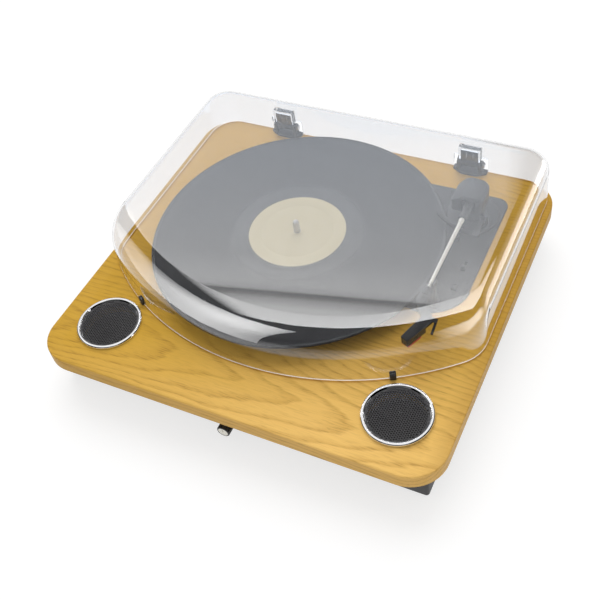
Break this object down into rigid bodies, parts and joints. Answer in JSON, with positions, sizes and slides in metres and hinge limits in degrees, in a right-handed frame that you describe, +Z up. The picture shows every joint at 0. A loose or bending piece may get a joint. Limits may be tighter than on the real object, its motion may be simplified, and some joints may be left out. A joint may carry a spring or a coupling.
{
  "type": "record player",
  "caption": "Belt-drive record player with a wood-topped plinth, built-in loudspeakers, S-necked tone arm, cue lever, volume knob and a hinged clear dust cover",
  "frame": {"origin": "on the table under the middle of the plinth, level with the bottoms of the feet", "axes": "+X to the right of someone facing the volume knob, +Y towards the cover's hinges, +Z up"},
  "size_m": [0.412, 0.38, 0.107],
  "materials": {
    "oak": "satin oak veneer, grain along the width",
    "black_base": "fine matt black moulding",
    "black_plate": "fine matt black moulding",
    "black_plastic": "satin black moulding",
    "black_gloss": "glossy black moulding",
    "hinge_black": "satin black moulding",
    "rubber": "matt black rubber",
    "mat_rubber": "matt black rubber with ring grooves",
    "bumper_rubber": "soft black bumper",
    "steel": "bright plated steel",
    "spindle_steel": "dark burnished steel",
    "brass": "turned brass",
    "platter_alloy": "die-cast alloy",
    "vinyl": "pressed black vinyl with fine grooves",
    "label_paper": "uncoated cream paper",
    "arm_silver": "polished aluminium",
    "stylus_red": "glossy red moulding",
    "chrome": "bright chrome plate",
    "grille_black": "black painted steel",
    "cone_paper": "dark pressed paper",
    "magnet": "grey ferrite",
    "board_green": "green circuit board",
    "socket_metal": "bright plated socket",
    "clear_cover": "clear moulded acrylic"
  },
  "bodies": {
    "base": {"plinth": "oak", "base_tray": "black_base", "tray_screws": "steel", "speaker_screws": "steel", "deck_plate": "black_plate", "bearing_bush": "brass", "drive_motor": "steel", "motor_grommets": "rubber", "drive_belt": "rubber", "arm_base": "black_plastic", "arm_rest": "black_plastic", "volume_pot": "steel", "circuit_board": "board_green", "rca_jack_left": "socket_metal", "rca_jack_right": "socket_metal", "aux_jack": "socket_metal", "power_inlet": "black_plastic", "speaker_ring_left": "chrome", "speaker_grille_left": "grille_black", "speaker_basket_left": "grille_black", "speaker_cone_left": "cone_paper", "speaker_magnet_left": "magnet", "hinge_base_left": "hinge_black", "hinge_pin_left": "steel", "foot_front_left": "rubber", "foot_rear_left": "rubber", "speaker_ring_right": "chrome", "speaker_grille_right": "grille_black", "speaker_basket_right": "grille_black", "speaker_cone_right": "cone_paper", "speaker_magnet_right": "magnet", "hinge_base_right": "hinge_black", "hinge_pin_right": "steel", "foot_front_right": "rubber", "foot_rear_right": "rubber"},
    "platter": {"spindle": "spindle_steel", "platter": "platter_alloy", "platter_mat": "mat_rubber", "record": "vinyl", "record_label": "label_paper"},
    "pulley": {"motor_pulley": "brass"},
    "turret": {"arm_turret": "black_plastic", "arm_pivot_pin": "steel"},
    "tonearm": {"arm_tube": "arm_silver", "arm_collar": "black_plastic", "headshell": "black_gloss", "cartridge": "black_gloss", "stylus": "stylus_red"},
    "lifter": {"arm_lifter": "black_plastic"},
    "cue": {"cue_lever": "black_plastic"},
    "speed": {"speed_switch": "black_gloss"},
    "auto_stop": {"auto_stop_switch": "black_gloss"},
    "knob": {"volume_knob": "black_gloss", "knob_cap": "arm_silver"},
    "cover": {"dust_cover": "clear_cover", "cover_bumpers": "bumper_rubber", "hinge_tongue_left": "hinge_black", "hinge_tongue_right": "hinge_black"}
  },
  "joints": [
    {"name": "platter_spin", "type": "hinge", "parent": "base", "child": "platter", "pos_m": [-0.0206, 0.0286, 0.062], "axis": [0, 0, -1], "continuous": true},
    {"name": "pulley_spin", "type": "hinge", "parent": "base", "child": "pulley", "pos_m": [-0.08495, 0.09295, 0.06], "axis": [0, 0, -1], "continuous": true},
    {"name": "tonearm_swing", "type": "hinge", "parent": "base", "child": "turret", "pos_m": [0.135, 0.118, 0.075], "axis": [0, 0, -1], "range_deg": [0, 43]},
    {"name": "tonearm_lift", "type": "hinge", "parent": "turret", "child": "tonearm", "pos_m": [0.135, 0.118, 0.082], "axis": [-1, 0, 0], "range_deg": [0, 5]},
    {"name": "lifter_slide", "type": "slide", "parent": "base", "child": "lifter", "axis": [0, 0, 1], "range_m": [0, 0.00332]},
    {"name": "cue_turn", "type": "hinge", "parent": "base", "child": "cue", "pos_m": [0.15, 0.106, 0.067], "axis": [-1, 0, 0], "range_deg": [0, 35]},
    {"name": "speed_slide", "type": "slide", "parent": "base", "child": "speed", "axis": [0, 1, 0], "range_m": [0, 0.008]},
    {"name": "auto_stop_slide", "type": "slide", "parent": "base", "child": "auto_stop", "axis": [0, 1, 0], "range_m": [0, 0.004]},
    {"name": "volume_turn", "type": "hinge", "parent": "base", "child": "knob", "pos_m": [0, -0.18, 0.021], "axis": [0, 1, 0], "range_deg": [-140, 140]},
    {"name": "cover_hinge", "type": "hinge", "parent": "base", "child": "cover", "pos_m": [0, 0.185, 0.066], "axis": [-1, 0, 0], "range_deg": [0, 75]}
  ],
  "couplings": [
    {"joint": "pulley_spin", "follows": "platter_spin", "ratio": 13.333},
    {"joint": "lifter_slide", "follows": "tonearm_lift", "m_per_rad": 0.038},
    {"joint": "cue_turn", "follows": "tonearm_lift", "ratio": 7}
  ]
}
